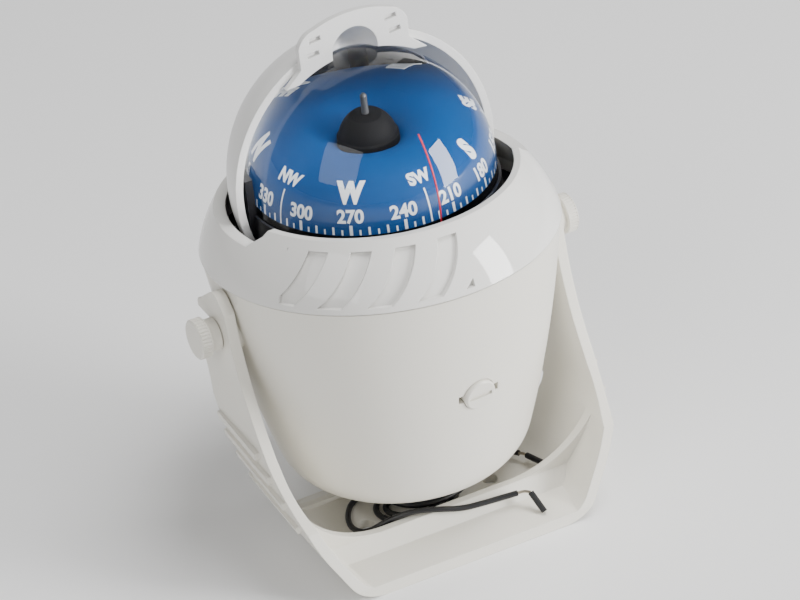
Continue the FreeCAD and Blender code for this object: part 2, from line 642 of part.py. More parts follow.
def make_capsule_screws():
    """Pan-head screws that clamp the capsule's flanges to the carrier ring."""
    screws = []
    for number in range(SCREW_COUNT):
        screw = turned(f"capsule_screw_{number}", [
            (0.0, 12.0), (0.75, 12.0), (0.75, 19.6), (1.5, 19.6), (1.5, 20.4), (0.0, 20.4)])
        angle = 360.0 / SCREW_COUNT * (number + 0.5)
        spun = Rotation(Vector(0, 0, 1), angle)
        screw.Placement = Placement(spun.multVec(Vector(SCREW_RING, 0, 0)), spun)
        screws.append(screw)
    group = doc.addObject("Part::Compound", "capsule_screw_set")
    group.Links = screws
    keep(group, "capsule_screws", BOWL)


def make_basin_fittings():
    """What closes the basin's floor: a rubber diaphragm, its clamp ring and the fill plug."""
    keep(turned("diaphragm", [
        (0.0, -20.2), (5.0, -20.2), (7.5, -19.2), (18.3, -19.2), (18.3, -18.0), (7.0, -18.0),
        (4.6, -19.0), (0.0, -19.0)]), "diaphragm", BOWL)
    clamp = turned("clamp_turning", [
        (13.2, -21.0), (18.3, -21.0), (18.3, -19.2), (13.2, -19.2)])
    holes = []
    screws = []
    for number in range(CLAMP_SCREWS):
        spun = Rotation(Vector(0, 0, 1), 360.0 / CLAMP_SCREWS * number)
        spot = spun.multVec(Vector(16.6, 0, 0))
        holes.append(cylinder(f"clamp_hole_{number}", 0.9, 4.0, x=spot.x, y=spot.y, z=-22.0))
        screw = turned(f"clamp_screw_{number}", [
            (0.0, -22.2), (1.7, -22.2), (1.7, -21.0), (0.8, -21.0), (0.8, -19.3), (0.0, -19.3)])
        screw.Placement = Placement(spot, Rotation())
        screws.append(screw)
    keep(cut("clamp_ring", clamp, *holes), "clamp_ring", BOWL)
    group = doc.addObject("Part::Compound", "clamp_screw_set")
    group.Links = screws
    keep(group, "clamp_screws", BOWL)
    plug = turned("fill_plug", [
        (0.0, -20.2), (2.5, -20.2), (2.5, -18.0), (1.3, -18.0), (1.3, -16.4), (0.0, -16.4)])
    plug.Placement = Placement(Vector(0, FILL_Y, 0), Rotation())
    keep(plug, "fill_plug", BOWL)


def make_pivot():
    """The bridge, post and needle that the card turns on."""
    bridge = turned("bridge_turning", [
        (2.2, -5.0), (35.0, -5.0), (35.0, -3.2), (5.0, -3.2), (5.0, -1.0), (2.2, -1.0)])
    windows = []
    for number in range(BRIDGE_WINDOWS):
        spun = Rotation(Vector(0, 0, 1), 360.0 / BRIDGE_WINDOWS * number)
        spot = spun.multVec(Vector(20.0, 0, 0))
        windows.append(cylinder(f"bridge_window_{number}", 7.0, 6.0, x=spot.x, y=spot.y, z=-7.0))
    keep(cut("post_bridge", bridge, *windows), "post_bridge", BOWL)
    keep(turned("pivot_post", [
        (0.0, -7.0), (3.2, -7.0), (3.2, -5.0), (2.2, -5.0), (2.2, 4.0), (1.25, 30.0),
        (1.25, 40.0), (0.45, 40.0), (0.45, 36.0), (0.0, 36.0)]), "pivot_post", BOWL)
    keep(turned("pivot_needle", [
        (0.0, 36.0), (0.45, 36.0), (0.45, 40.6), (0.0, NEEDLE_Z)]), "pivot_needle", BOWL)


def make_card():
    """The blue dial and what turns with it."""
    mid = S.dome_z
    keep(turned("card", [
        (28.7, mid - 5.9), (28.1, mid - 2.2), (CREST_R, mid + CREST_Z), (HUB_R, mid + 6.6),
        (HUB_R, mid + 5.6), (CREST_R, mid + CREST_Z - 1.0), (27.1, mid - 2.4),
        (27.7, mid - 5.9),
    ], {1: 14.7, 2: 9.4, 4: -9.9, 5: -13.6}), "card", BOWL)
    hub = turned("hub", [
        (0.0, mid + 7.4), (1.55, mid + 7.4), (1.55, mid + 1.5), (HUB_R, mid + 1.5),
        (HUB_R, mid + 8.4), (HUB_R - 0.4, mid + 8.9), (3.6, mid + 13.5), (0.0, mid + 14.0),
    ], {5: 7.5})
    keep(hub, "hub_float", BOWL)
    keep(turned("hub_pin", [
        (0.0, mid + 14.0), (0.8, mid + 14.0), (0.8, mid + 19.0), (0.5, mid + 19.6),
        (0.0, mid + 19.8)]), "hub_pin", BOWL)
    keep(turned("jewel_cup", [
        (0.0, NEEDLE_Z + 0.06), (1.0, mid + 5.3), (1.55, mid + 5.3), (1.55, mid + 7.4),
        (0.0, mid + 7.4)]), "jewel_cup", BOWL)
    carrier = turned("magnet_carrier", [
        (2.4, mid + 0.7), (9.0, mid + 0.7), (9.0, mid + 1.5), (2.4, mid + 1.5)])
    keep(carrier, "magnet_carrier", BOWL)
    bars = []
    for side in (-1, 1):
        bars.append(block(f"magnet_{side}", 24.0, 3.0, 3.0, x=-12.0,
                          y=3.4 if side > 0 else -6.4, z=S.dome_z - 2.3))
    group = doc.addObject("Part::Compound", "magnet_pair")
    group.Links = bars
    spun = Placement(Vector(), Rotation(Vector(0, 0, 1), CARD_NORTH))
    keep(group, "card_magnets", BOWL.multiply(spun))


def make_lubber_line():
    """The red wire inside the dome that the heading is read against."""
    wire_r, path_r = 0.28, 34.3
    start, end = math.radians(-12.0), math.radians(37.0)
    middle = (start + end) / 2
    points = [Vector(0, -path_r * math.cos(a), S.dome_z.number + path_r * math.sin(a))
              for a in (start, middle, end)]
    path = Part.Wire([Part.Arc(*points).toShape()])
    tangent = Vector(0, path_r * math.sin(start), path_r * math.cos(start))
    outline = Part.Wire([Part.Circle(points[0], tangent, wire_r).toShape()])
    wire = path.makePipeShell([outline], True, False)
    thing = doc.addObject("Part::Feature", "lubber_line")
    thing.Shape = wire
    thing.Placement = Placement(Vector(), Rotation(Vector(0, 0, 1), LUBBER_TURN))
    keep(thing, "lubber_line", BOWL)


def make_hood():
    """The swinging sun hood: a quarter ball behind the dome, with a thumb tab on its rim."""
    outer = ball("hood_ball", S.hood_r, z=S.dome_z)
    inner = ball("hood_room", S.hood_in, z=S.dome_z)
    space = block("hood_space", 120.0, 60.0, 90.0, x=-60.0, y=S.hood_front,
                  z=S.dome_z + S.hood_low)
    shell = common("hood_shell", outer, space)
    scoop = ball("scoop_ball", SCOOP_R + 1.6, y=S.hood_front, z=S.dome_z + SCOOP_Z)
    dome_clear = ball("scoop_dome_clear", S.dome_r + 0.6, z=S.dome_z)
    scoop_half = cut("scoop_half", common("scoop_back", scoop, space), dome_clear)
    tab = slab("hood_tab", [
        (-17.9, 37.2), (-23.3, 32.5), (-19.0, 32.9), (-7.3, 37.3), (7.3, 37.3), (19.0, 32.9),
        (23.3, 32.5), (17.9, 37.2), (17.9, 43.5), (12.6, 48.4), (-12.6, 48.4), (-17.9, 43.5),
    ], {2: -38.0, 4: -38.0, 8: 6.8, 9: 35.0, 10: 6.8}, S.tab_wall, FRONT_PLANE,
        y=S.hood_front, z=S.dome_z)
    room = common("hood_inside", inner, space)
    blank = fuse("hood_blank", cut("hood_wall", shell, room), scoop_half, tab)
    arch = cylinder("scoop_arch", SCOOP_R, S.tab_wall + 1.0, y=S.hood_front,
                    z=S.dome_z + SCOOP_Z, turn=FRONT_PLANE)
    arch_foot = block("scoop_foot", SCOOP_R * 2, S.tab_wall + 1.0, 12.0, x=-SCOOP_R,
                      y=S.hood_front - S.tab_wall - 1.0, z=S.dome_z + SCOOP_Z - 12.0)
    scoop_room = ball("scoop_room", SCOOP_R, y=S.hood_front, z=S.dome_z + SCOOP_Z)
    scoop_space = block("scoop_space", 40.0, 30.0, 90.0, x=-20.0, y=S.hood_front,
                        z=S.dome_z + SCOOP_Z - 45.0)
    scoop_inside = common("scoop_inside", scoop_room, scoop_space)
    carved = cut("hood_carved", blank, arch, arch_foot, scoop_inside, *tab_dashes())
    pins = []
    for side in (-1, 1):
        for angle in (GUIDE_LOW, GUIDE_HIGH):
            pins.append(cylinder(f"guide_pin_{side}_{angle:.0f}", 0.65, 3.2,
                                 x=37.85 if side > 0 else -41.05,
                                 y=GUIDE_R * math.cos(math.radians(angle)),
                                 z=S.dome_z + GUIDE_R * math.sin(math.radians(angle)),
                                 turn=X_TURN))
    keep(fuse("hood", carved, *pins), "hood", BOWL)


def tab_dashes():
    """Four short grip recesses in the tab's face, two on each side of the scoop."""
    tools = []
    for side in (-1, 1):
        for x, z in ((12.4, 45.4), (13.4, 41.0)):
            dash = block(f"tab_dash_{side}_{z:.0f}", 3.8, 1.0, 1.4)
            dash.Placement = Placement(
                Vector(side * x, (S.hood_front - S.tab_wall).number, S.dome_z.number + z),
                Rotation(Vector(0, 1, 0), -8.0)).multiply(
                    Placement(Vector(-1.9, 0, -0.7), Rotation()))
            tools.append(dash)
    return tools


def make_side(side, word):
    """One side's clamp knob, its stud, the brass insert it screws into and its washer."""
    flip = Rotation() if side > 0 else Rotation(Vector(0, 0, 1), 180)
    neck_r, stud_r = 5.0, 2.0
    grip = turned(f"knob_turning_{word}", [
        (53.35, stud_r), (53.35, S.spigot_r), (56.95, S.spigot_r), (56.95, neck_r),
        (60.2, neck_r), (60.2, S.knob_r - 0.35), (60.5, S.knob_r), (S.knob_face - 0.4, S.knob_r),
        (S.knob_face, S.knob_r - 0.5), (S.knob_face, 0.0), (62.4, 0.0), (62.4, stud_r),
    ], axis="H_Axis")
    flutes = []
    for number in range(KNOB_FLUTES):
        spun = Rotation(Vector(1, 0, 0), 360.0 / KNOB_FLUTES * number)
        spot = spun.multVec(Vector(60.9, 0, S.knob_r.number + 0.12))
        flutes.append(cylinder(f"flute_{word}_{number}", 0.34, 2.6, x=spot.x, y=spot.y,
                               z=spot.z, turn=X_TURN))
    knob = cut(f"knob_{word}_cut", grip, *flutes)
    site = Placement(Vector(), flip)
    keep(knob, f"knob_{word}", BOWL.multiply(site))
    keep(turned(f"stud_{word}", [
        (46.0, 0.0), (62.4, 0.0), (62.4, stud_r), (46.6, stud_r), (46.0, stud_r - 0.5),
    ], axis="H_Axis"), f"knob_stud_{word}", BOWL.multiply(site))
    keep(turned(f"insert_{word}", [
        (43.0, stud_r + 0.05), (52.3, stud_r + 0.05), (52.3, 3.6), (43.0, 3.6),
    ], axis="H_Axis"), f"pivot_insert_{word}", BOWL.multiply(site))
    keep(turned(f"washer_{word}", [
        (52.5, 3.7), (52.85, 3.7), (52.85, 6.4), (52.5, 6.4),
    ], axis="H_Axis"), f"pivot_washer_{word}", BOWL.multiply(site))


def make_lamp():
    """The night-light holder in the bowl's front, its socket, lamp, seal and contacts."""
    holder = turned("holder_turning", [
        (0.0, -12.6), (3.9, -12.6), (3.9, -3.0), (S.holder_r, -2.4), (S.holder_r, 0.5),
        (S.holder_r - 0.5, 1.0), (0.0, 1.0)])
    lug = block("holder_lugs", 13.2, 2.0, 1.5, x=-6.6, y=-1.0, z=-7.0)
    turn = Rotation(Vector(0, 0, 1), 90)
    lug.Placement = Placement(Vector(1.0, -6.6, -7.0), turn)
    lamp_seat = cylinder("lamp_seat", 1.6, 3.0, z=-13.0)
    grip = block("holder_slot", 7.6, 1.3, 1.0, x=-3.8, y=-0.65, z=0.4)
    keep(cut("lamp_holder", fuse("holder_blank", holder, lug), lamp_seat, grip),
         "lamp_holder", BOWL.multiply(HOLDER))
    keep(turned("lamp", [
        (0.0, -14.9), (1.0, -14.5), (1.5, -13.6), (1.5, -10.0), (0.0, -10.0),
    ], None), "lamp", BOWL.multiply(HOLDER))
    keep(turned("holder_seal", [
        (3.9, -4.9), (5.1, -4.9), (5.1, -3.7), (3.9, -3.7),
    ]), "holder_seal", BOWL.multiply(HOLDER))
    keep(turned("lamp_socket", [
        (7.1, -5.0), (9.0, -5.0), (9.0, -8.6), (7.0, -8.6), (7.0, -16.2), (2.6, -16.2),
        (2.6, -15.2), (5.4, -15.2), (5.4, -7.4), (7.1, -7.4),
    ]), "lamp_socket", BOWL.multiply(HOLDER))
    springs = []
    for side in (-1, 1):
        leaf = block(f"contact_{side}", 0.4, 2.0, 6.0, x=4.6 * side - 0.2, y=-1.0, z=-15.2)
        foot = block(f"contact_foot_{side}", 1.2, 2.0, 0.4, x=4.0 * side - 0.6, y=-1.0, z=-15.2)
        springs.append(fuse(f"contact_strip_{side}", leaf, foot))
    group = doc.addObject("Part::Compound", "contact_pair")
    group.Links = springs
    keep(group, "lamp_contacts", BOWL.multiply(HOLDER))


def make_lead_exit():
    """The grommet in the bowl's underside and the short ends of the leads that it holds."""
    inside_z = S.bowl_flat_z + S.bowl_wall
    grommet = turned("grommet_turning", [
        (0.0, S.bowl_flat_z - 1.2), (4.4, S.bowl_flat_z - 1.2), (4.4, S.bowl_flat_z),
        (3.4, S.bowl_flat_z), (3.4, inside_z), (4.4, inside_z), (4.4, inside_z + 1.0),
        (0.0, inside_z + 1.0)])
    grommet.Placement = Placement(Vector(0, LEAD_EXIT_Y, 0), Rotation())
    bores = []
    stubs = []
    for side in (-1, 1):
        bores.append(cylinder(f"grommet_bore_{side}", S.lead_r, 12.0, x=LEAD_GAP * side,
                              y=LEAD_EXIT_Y, z=S.bowl_flat_z - 4.0))
        stubs.append(cylinder(f"stub_{side}", S.lead_r, 14.0, x=LEAD_GAP * side,
                              y=LEAD_EXIT_Y, z=LEAD_END_Z))
    keep(cut("lead_grommet", grommet, *bores), "lead_grommet", BOWL)
    group = doc.addObject("Part::Compound", "stub_pair")
    group.Links = stubs
    keep(group, "lead_stubs", BOWL)


def rounded_path(name, route):
    """Straight runs joined by tangent arcs, each as large as its two runs allow."""
    spots = [Vector(*spot) for spot in route]
    edges = []
    radii = []
    last = spots[0]
    for before, corner, after in zip(spots, spots[1:], spots[2:]):
        back, ahead = before - corner, after - corner
        set_off = 0.45 * min(back.Length, ahead.Length)
        half_turn = (math.pi - back.getAngle(ahead)) / 2
        radii.append(set_off / math.tan(half_turn))
        start = corner + back.normalize() * set_off
        end = corner + ahead.normalize() * set_off
        to_centre = (back + ahead).normalize()
        middle = corner + to_centre * (radii[-1] / math.cos(half_turn) - radii[-1])
        edges.append(Part.LineSegment(last, start).toShape())
        edges.append(Part.Arc(start, middle, end).toShape())
        last = end
    edges.append(Part.LineSegment(last, spots[-1]).toShape())
    print(f"{name}: radii {[round(radius, 1) for radius in radii]}")
    return Part.Wire(edges)


def tube(name, route, radius):
    """A lead's tube along its route."""
    path = rounded_path(name, route)
    start = Vector(*route[0])
    outline = Part.Wire([Part.Circle(start, Vector(*route[1]) - start, radius).toShape()])
    thing = doc.addObject("Part::Feature", name + "_tube")
    thing.Shape = path.makePipeShell([outline], True, False)
    expected = math.pi * radius * radius * path.Length
    print(f"{name}: length {path.Length:.1f}, volume {thing.Shape.Volume / expected:.3f} of "
          "section times length")
    return keep(thing, name)


def oval_ring(name, middle, outer, inner, low, high):
    """The outer shape of a lead's loose coil: a flat oval ring."""
    solids = []
    for word, (long_r, short_r), spare in (("out", outer, 0.0), ("in", inner, 1.0)):
        outline = doc.addObject("Part::Ellipse", f"{name}_{word}_line")
        outline.MajorRadius = long_r
        outline.MinorRadius = short_r
        place(outline, middle[0], middle[1], low - spare)
        solid = doc.addObject("Part::Extrusion", f"{name}_{word}")
        solid.Base = outline
        solid.DirMode = "Custom"
        solid.Dir = Vector(0, 0, 1)
        solid.Solid = True
        bind(solid, "LengthFwd", high - low + 2 * spare)
        solids.append(solid)
    keep(cut(name + "_ring", *solids), name)


def make_leads():
    """The two thin leads that lie loose in the bracket, with their stripped ends."""
    lead_r, strand_r, sleeve_r = S.lead_r.number, 0.45, 0.95
    tube("lead_left_drop", LEFT_DROP, lead_r)
    oval_ring("lead_left_coil", (-4.0, 5.5), (16.5, 11.9), (8.5, 5.0), 3.02, 4.84)
    tube("lead_left_run", LEFT_RUN, lead_r)
    tube("lead_left_strands", LEFT_STRANDS, strand_r)
    tube("lead_left_sleeve", LEFT_SLEEVE, sleeve_r)
    tube("lead_right_drop", RIGHT_DROP, lead_r)
    oval_ring("lead_right_coil", (2.5, 8.0), (15.5, 11.2), (7.2, 3.6), 4.86, 6.68)
    tube("lead_right_run", RIGHT_RUN, lead_r)
    tube("lead_right_strands", RIGHT_STRANDS, strand_r)
    tube("lead_right_sleeve", RIGHT_SLEEVE, sleeve_r)


make_bracket()
make_bowl()
make_collar()
make_capsule()
make_basin_fittings()
make_pivot()
make_card()
make_lubber_line()
make_hood()
for side_sign, side_word in ((-1, "left"), (1, "right")):
    make_side(side_sign, side_word)
make_lamp()
make_lead_exit()
make_leads()


doc.recompute()


def check_and_write():
    """Refuse a broken piece, then write one file for each piece."""
    for thing in doc.Objects:
        if "Invalid" in thing.State or "Error" in thing.State:
            raise RuntimeError(f"{thing.Name} failed: {thing.State}")
    os.makedirs("parts", exist_ok=True)
    for thing in parts:
        shape = thing.Shape
        if shape.isNull() or not shape.isValid():
            raise RuntimeError(f"{thing.Label} has a bad shape")
        shape.exportStep(f"parts/{thing.Label}.step")
        print(f"{thing.Label}: {len(shape.Solids)} solid, {shape.Volume:.1f} mm3")


check_and_write()
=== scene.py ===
import json
import math

import bmesh
import bpy
from mathutils import Matrix, Vector


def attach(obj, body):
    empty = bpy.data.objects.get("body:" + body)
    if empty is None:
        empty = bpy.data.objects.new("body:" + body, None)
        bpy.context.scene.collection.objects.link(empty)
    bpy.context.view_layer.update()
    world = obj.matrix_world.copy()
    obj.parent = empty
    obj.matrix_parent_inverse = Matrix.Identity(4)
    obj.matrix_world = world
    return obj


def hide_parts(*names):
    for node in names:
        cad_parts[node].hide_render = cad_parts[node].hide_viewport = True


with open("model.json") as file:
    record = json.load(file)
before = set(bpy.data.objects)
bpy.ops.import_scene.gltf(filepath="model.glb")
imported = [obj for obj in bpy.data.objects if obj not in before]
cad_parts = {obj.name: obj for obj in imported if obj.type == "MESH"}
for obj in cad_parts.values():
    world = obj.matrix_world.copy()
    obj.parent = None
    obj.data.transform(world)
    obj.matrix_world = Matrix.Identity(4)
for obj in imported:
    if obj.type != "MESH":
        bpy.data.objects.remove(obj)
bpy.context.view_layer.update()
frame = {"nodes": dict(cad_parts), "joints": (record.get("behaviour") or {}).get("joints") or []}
nodes = frame["nodes"]
joints = {joint["name"]: joint for joint in frame["joints"]}

MM = 0.001

# The bowl's own frame: its origin is the middle of the tilt axis and its Z is the dome's axis.
pivot = Vector(joints["bowl_tilt"]["pos_m"])
bowl_up = Vector(joints["card_turn"]["axis"]).normalized()
bowl_back = bowl_up.cross(Vector((1, 0, 0))).normalized()
dome_middle = Vector(joints["hood_swing"]["pos_m"])
dome_lift = (dome_middle - pivot).length / MM      # dome's centre over the tilt axis


def bowl_point(x, y, z):
    """A point given in millimetres in the bowl's frame, in the row frame."""
    return pivot + (Vector((1, 0, 0)) * x + bowl_back * y + bowl_up * z) * MM


# ---------------------------------------------------------------- materials

def shader(name, colour, roughness, **sockets):
    """A material with one Principled shader whose constant values sit on its own sockets."""
    material = bpy.data.materials.new(name)
    material.use_nodes = True
    surface = material.node_tree.nodes["Principled BSDF"]
    surface.inputs["Base Color"].default_value = (*colour, 1.0)
    surface.inputs["Roughness"].default_value = roughness
    for socket, value in sockets.items():
        surface.inputs[socket.replace("_", " ")].default_value = value
    return material


def roughen(material, scale, height, detail=3.0, edge=0.0):
    """Add a fine procedural grain, and softened edges, to a material's surface."""
    tree = material.node_tree
    surface = tree.nodes["Principled BSDF"]
    coordinates = tree.nodes.new("ShaderNodeTexCoord")
    noise = tree.nodes.new("ShaderNodeTexNoise")
    noise.inputs["Scale"].default_value = scale
    noise.inputs["Detail"].default_value = detail
    bump = tree.nodes.new("ShaderNodeBump")
    bump.inputs["Strength"].default_value = 0.5
    bump.inputs["Distance"].default_value = height
    tree.links.new(coordinates.outputs["Object"], noise.inputs["Vector"])
    tree.links.new(noise.outputs["Fac"], bump.inputs["Height"])
    if edge:
        bevel = tree.nodes.new("ShaderNodeBevel")
        bevel.samples = 6
        bevel.inputs["Radius"].default_value = edge
        tree.links.new(bevel.outputs["Normal"], bump.inputs["Normal"])
    tree.links.new(bump.outputs["Normal"], surface.inputs["Normal"])
    return material


WHITE = (0.80, 0.775, 0.70)


def make_materials():
    clear = {"Transmission_Weight": 1.0, "IOR": 1.45, "Specular_IOR_Level": 0.28}
    return {
        "bracket": roughen(shader("bracket_plastic", WHITE, 0.36), 900, 0.00003, edge=0.0005),
        "bowl": roughen(shader("bowl_plastic", WHITE, 0.34), 700, 0.00002, edge=0.0004),
        "collar": roughen(shader("collar_plastic", (0.79, 0.78, 0.75), 0.05), 500, 0.00001,
                          edge=0.0004),
        "hood": roughen(shader("hood_plastic", (0.79, 0.785, 0.77), 0.30), 700, 0.00002,
                        edge=0.0004),
        "knob": roughen(shader("knob_plastic", WHITE, 0.38), 900, 0.00003, edge=0.0002),
        "lens": shader("dome_acrylic", (1.0, 1.0, 1.0), 0.0, **clear),
        "black": shader("black_plastic", (0.012, 0.012, 0.014), 0.35),
        "rubber": roughen(shader("black_rubber", (0.016, 0.016, 0.017), 0.6), 1500, 0.00002),
        "lead": roughen(shader("lead_insulation", (0.011, 0.011, 0.012), 0.38), 1200, 0.00003),
        "steel": shader("steel", (0.62, 0.61, 0.59), 0.28, Metallic=1.0),
        "tinned": roughen(shader("tinned_copper", (0.42, 0.37, 0.30), 0.38, Metallic=1.0),
                          4000, 0.00008),
        "brass": shader("brass", (0.76, 0.58, 0.28), 0.28, Metallic=1.0),
        "hub": shader("hub_black", (0.004, 0.004, 0.005), 0.75, Specular_IOR_Level=0.2),
        "pin": shader("dark_pin", (0.10, 0.105, 0.11), 0.5, Metallic=0.6),
        "magnet": shader("magnet", (0.2, 0.2, 0.21), 0.4, Metallic=1.0),
        "blue": shader("card_blue", (0.001, 0.050, 0.19), 0.55, Specular_IOR_Level=0.25),
        "marks": shader("card_marks", (0.74, 0.77, 0.80), 0.5),
        "red": shader("lubber_red", (0.58, 0.015, 0.04), 0.35),
        "lamp": shader("lamp_red", (0.7, 0.03, 0.03), 0.1, Transmission_Weight=0.7),
    }


FINISHES = {
    "bracket": "bracket", "bowl_shell": "bowl", "collar": "collar", "hood": "hood",
    "knob_left": "knob", "knob_right": "knob", "lamp_holder": "bowl",
    "bezel_ring": "black", "carrier_ring": "black", "capsule_basin": "black",
    "post_bridge": "black", "lamp_socket": "black", "hub_float": "hub",
    "dome_gasket": "rubber", "holder_seal": "rubber", "diaphragm": "rubber",
    "pivot_washer_left": "rubber", "pivot_washer_right": "rubber", "lead_grommet": "rubber",
    "lead_stubs": "lead", "lead_left_sleeve": "lead", "lead_right_sleeve": "lead",
    "lead_left_strands": "tinned", "lead_right_strands": "tinned",
    "capsule_screws": "steel", "clamp_screws": "steel", "clamp_ring": "steel",
    "pivot_needle": "steel", "knob_stud_left": "steel", "knob_stud_right": "steel",
    "hub_pin": "pin", "pivot_post": "brass", "fill_plug": "brass",
    "pivot_insert_left": "brass", "pivot_insert_right": "brass", "lamp_contacts": "brass",
    "magnet_carrier": "brass", "card_magnets": "magnet", "card": "blue",
    "lubber_line": "red", "jewel_cup": "red", "lamp": "lamp",
}


def finish_nodes(materials):
    """Give every CAD node its material."""
    for name, finish in FINISHES.items():
        mesh = nodes[name].data
        mesh.materials.clear()
        mesh.materials.append(materials[finish])
        mesh.polygons.foreach_set("material_index", [0] * len(mesh.polygons))
        mesh.update()


# ---------------------------------------------------------------- dial

# Profile of the card's outside, in millimetres about the dome's centre: a short skirt, then
# an arc up to the crest.
SKIRT_LOW = (28.7, -5.9)
SKIRT_TOP = (28.1, -2.2)
CREST = (13.9, 9.9)
SIDE_R = 14.7                # radius of the arc from the skirt to the crest
CARD_FRONT = 230.3           # the heading that faces straight forwards at rest


def side_arc():
    """Middle of the card's side arc and the angles at which it starts and ends."""
    start, end = Vector(SKIRT_TOP), Vector(CREST)
    chord = end - start
    inward = Vector((-chord.y, chord.x)).normalized()
    reach = math.sqrt(SIDE_R ** 2 - (chord.length / 2) ** 2)
    middle = (start + end) / 2 + inward * reach
    first = math.atan2(start.y - middle.y, start.x - middle.x)
    last = math.atan2(end.y - middle.y, end.x - middle.x)
    return middle, first, last


ARC_MIDDLE, ARC_FIRST, ARC_LAST = side_arc()
SKIRT_LENGTH = (Vector(SKIRT_TOP) - Vector(SKIRT_LOW)).length


def profile(up):
    """Radius, height and outward direction of the card's outside, up millimetres along it."""
    if up < SKIRT_LENGTH:
        share = up / SKIRT_LENGTH
        spot = Vector(SKIRT_LOW).lerp(Vector(SKIRT_TOP), share)
        rise = (Vector(SKIRT_TOP) - Vector(SKIRT_LOW)).normalized()
        return spot, Vector((rise.y, -rise.x))
    angle = ARC_FIRST + (up - SKIRT_LENGTH) / SIDE_R
    outward = Vector((math.cos(angle), math.sin(angle)))
    return ARC_MIDDLE + outward * SIDE_R, outward


def card_point(heading, up, proud, across=0.0):
    """A point on the card: up along its outside, proud of it, and across to the reader's right."""
    spot, outward = profile(up)
    spot = spot + outward * proud
    turn = math.radians(heading - CARD_FRONT) - across / spot.x
    return bowl_point(-spot.x * math.sin(turn), -spot.x * math.cos(turn), dome_lift + spot.y)


INK = 0.06                   # a mark stands this far out of the card and as far into it
STROKE_STEP = 0.8            # a stroke is cut into lengths of at most this, to follow the card
WORD_STEP = 0.7              # and a word into faces of about this size

# Each kind of stroke: where it starts and ends along the card, and its width.
LONG_STROKE = (0.15, 3.5, 0.85)
MIDDLE_STROKE = (0.15, 2.9, 0.60)
SHORT_STROKE = (0.15, 2.0, 0.50)
DIAGONAL_STROKE = (2.0, 10.3, 0.45)

# Each kind of word: its middle along the card, height, boldness and width against the font's.
NUMBER = (5.95, 3.9, 0.034, 0.97)
LARGE_LETTER = (12.6, 6.6, 0.072, 0.76)
SMALL_LETTERS = (13.6, 3.8, 0.05, 0.86)


def add_bar(build, heading, low, high, width):
    """One upright stroke of the dial's scale, as a thin slab that follows the card."""
    steps = max(2, math.ceil((high - low) / STROKE_STEP))
    rings = []
    for step in range(steps + 1):
        up = low + (high - low) * step / steps
        corners = ((-width / 2, -INK), (width / 2, -INK), (width / 2, INK), (-width / 2, INK))
        rings.append([build.verts.new(card_point(heading, up, proud, across))
                      for across, proud in corners])
    for before, after in zip(rings, rings[1:]):
        for i in range(4):
            j = (i + 1) % 4
            build.faces.new((before[i], before[j], after[j], after[i]))
    build.faces.new(rings[0][::-1])
    build.faces.new(rings[-1])


def add_word(build, text, heading, middle, height, bold, squeeze):
    """A word of the dial, cut into small faces and laid on the card."""
    curve = bpy.data.curves.new("word_" + text, "FONT")
    curve.body = text
    curve.align_x = "CENTER"
    curve.align_y = "CENTER"
    curve.size = 1.0
    curve.offset = bold
    curve.extrude = 0.5
    holder = bpy.data.objects.new("word_" + text, curve)
    bpy.context.scene.collection.objects.link(holder)
    bpy.context.view_layer.update()
    flat = bpy.data.meshes.new_from_object(holder.evaluated_get(
        bpy.context.evaluated_depsgraph_get()))
    bpy.data.objects.remove(holder)
    piece = bmesh.new()
    piece.from_mesh(flat)
    bpy.data.meshes.remove(flat)
    bmesh.ops.remove_doubles(piece, verts=piece.verts, dist=1e-5)
    lows = [min(vert.co[axis] for vert in piece.verts) for axis in (0, 1)]
    highs = [max(vert.co[axis] for vert in piece.verts) for axis in (0, 1)]
    scale = height / (highs[1] - lows[1])
    for axis in (0, 1):
        span = highs[axis] - lows[axis]
        count = max(2, int(span * scale / WORD_STEP))
        for step in range(1, count):
            cut = Vector((0, 0, 0))
            cut[axis] = lows[axis] + span * step / count
            normal = Vector((0, 0, 0))
            normal[axis] = 1
            bmesh.ops.bisect_plane(piece, geom=piece.verts[:] + piece.edges[:] + piece.faces[:],
                                   plane_co=cut, plane_no=normal)
    centre = [(low + high) / 2 for low, high in zip(lows, highs)]
    placed = {}
    for vert in piece.verts:
        across = (vert.co.x - centre[0]) * scale * squeeze
        up = middle + (vert.co.y - centre[1]) * scale
        placed[vert] = build.verts.new(card_point(heading, up, INK * 2 * vert.co.z, across))
    for face in piece.faces:
        build.faces.new([placed[vert] for vert in face.verts])
    piece.free()


def make_marks(material):
    """The dial's white scale, numbers and letters."""
    build = bmesh.new()
    for heading in range(0, 360, 5):
        if heading % 30 == 0:
            add_bar(build, heading, *LONG_STROKE)
        elif heading % 10 == 0:
            add_bar(build, heading, *MIDDLE_STROKE)
        else:
            add_bar(build, heading, *SHORT_STROKE)
    for heading in range(0, 360, 30):
        add_word(build, str(heading), heading, *NUMBER)
    for heading, letter in ((0, "N"), (90, "E"), (180, "S"), (270, "W")):
        add_word(build, letter, heading, *LARGE_LETTER)
    for heading, letters in ((45, "NE"), (135, "SE"), (225, "SW"), (315, "NW")):
        add_bar(build, heading, *DIAGONAL_STROKE)
        add_word(build, letters, heading, *SMALL_LETTERS)
    bmesh.ops.recalc_face_normals(build, faces=build.faces)
    mesh = bpy.data.meshes.new("card_marks")
    build.to_mesh(mesh)
    build.free()
    mesh.materials.append(material)
    marks = bpy.data.objects.new("card_marks", mesh)
    bpy.context.scene.collection.objects.link(marks)
    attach(marks, "card")


# ---------------------------------------------------------------- dome

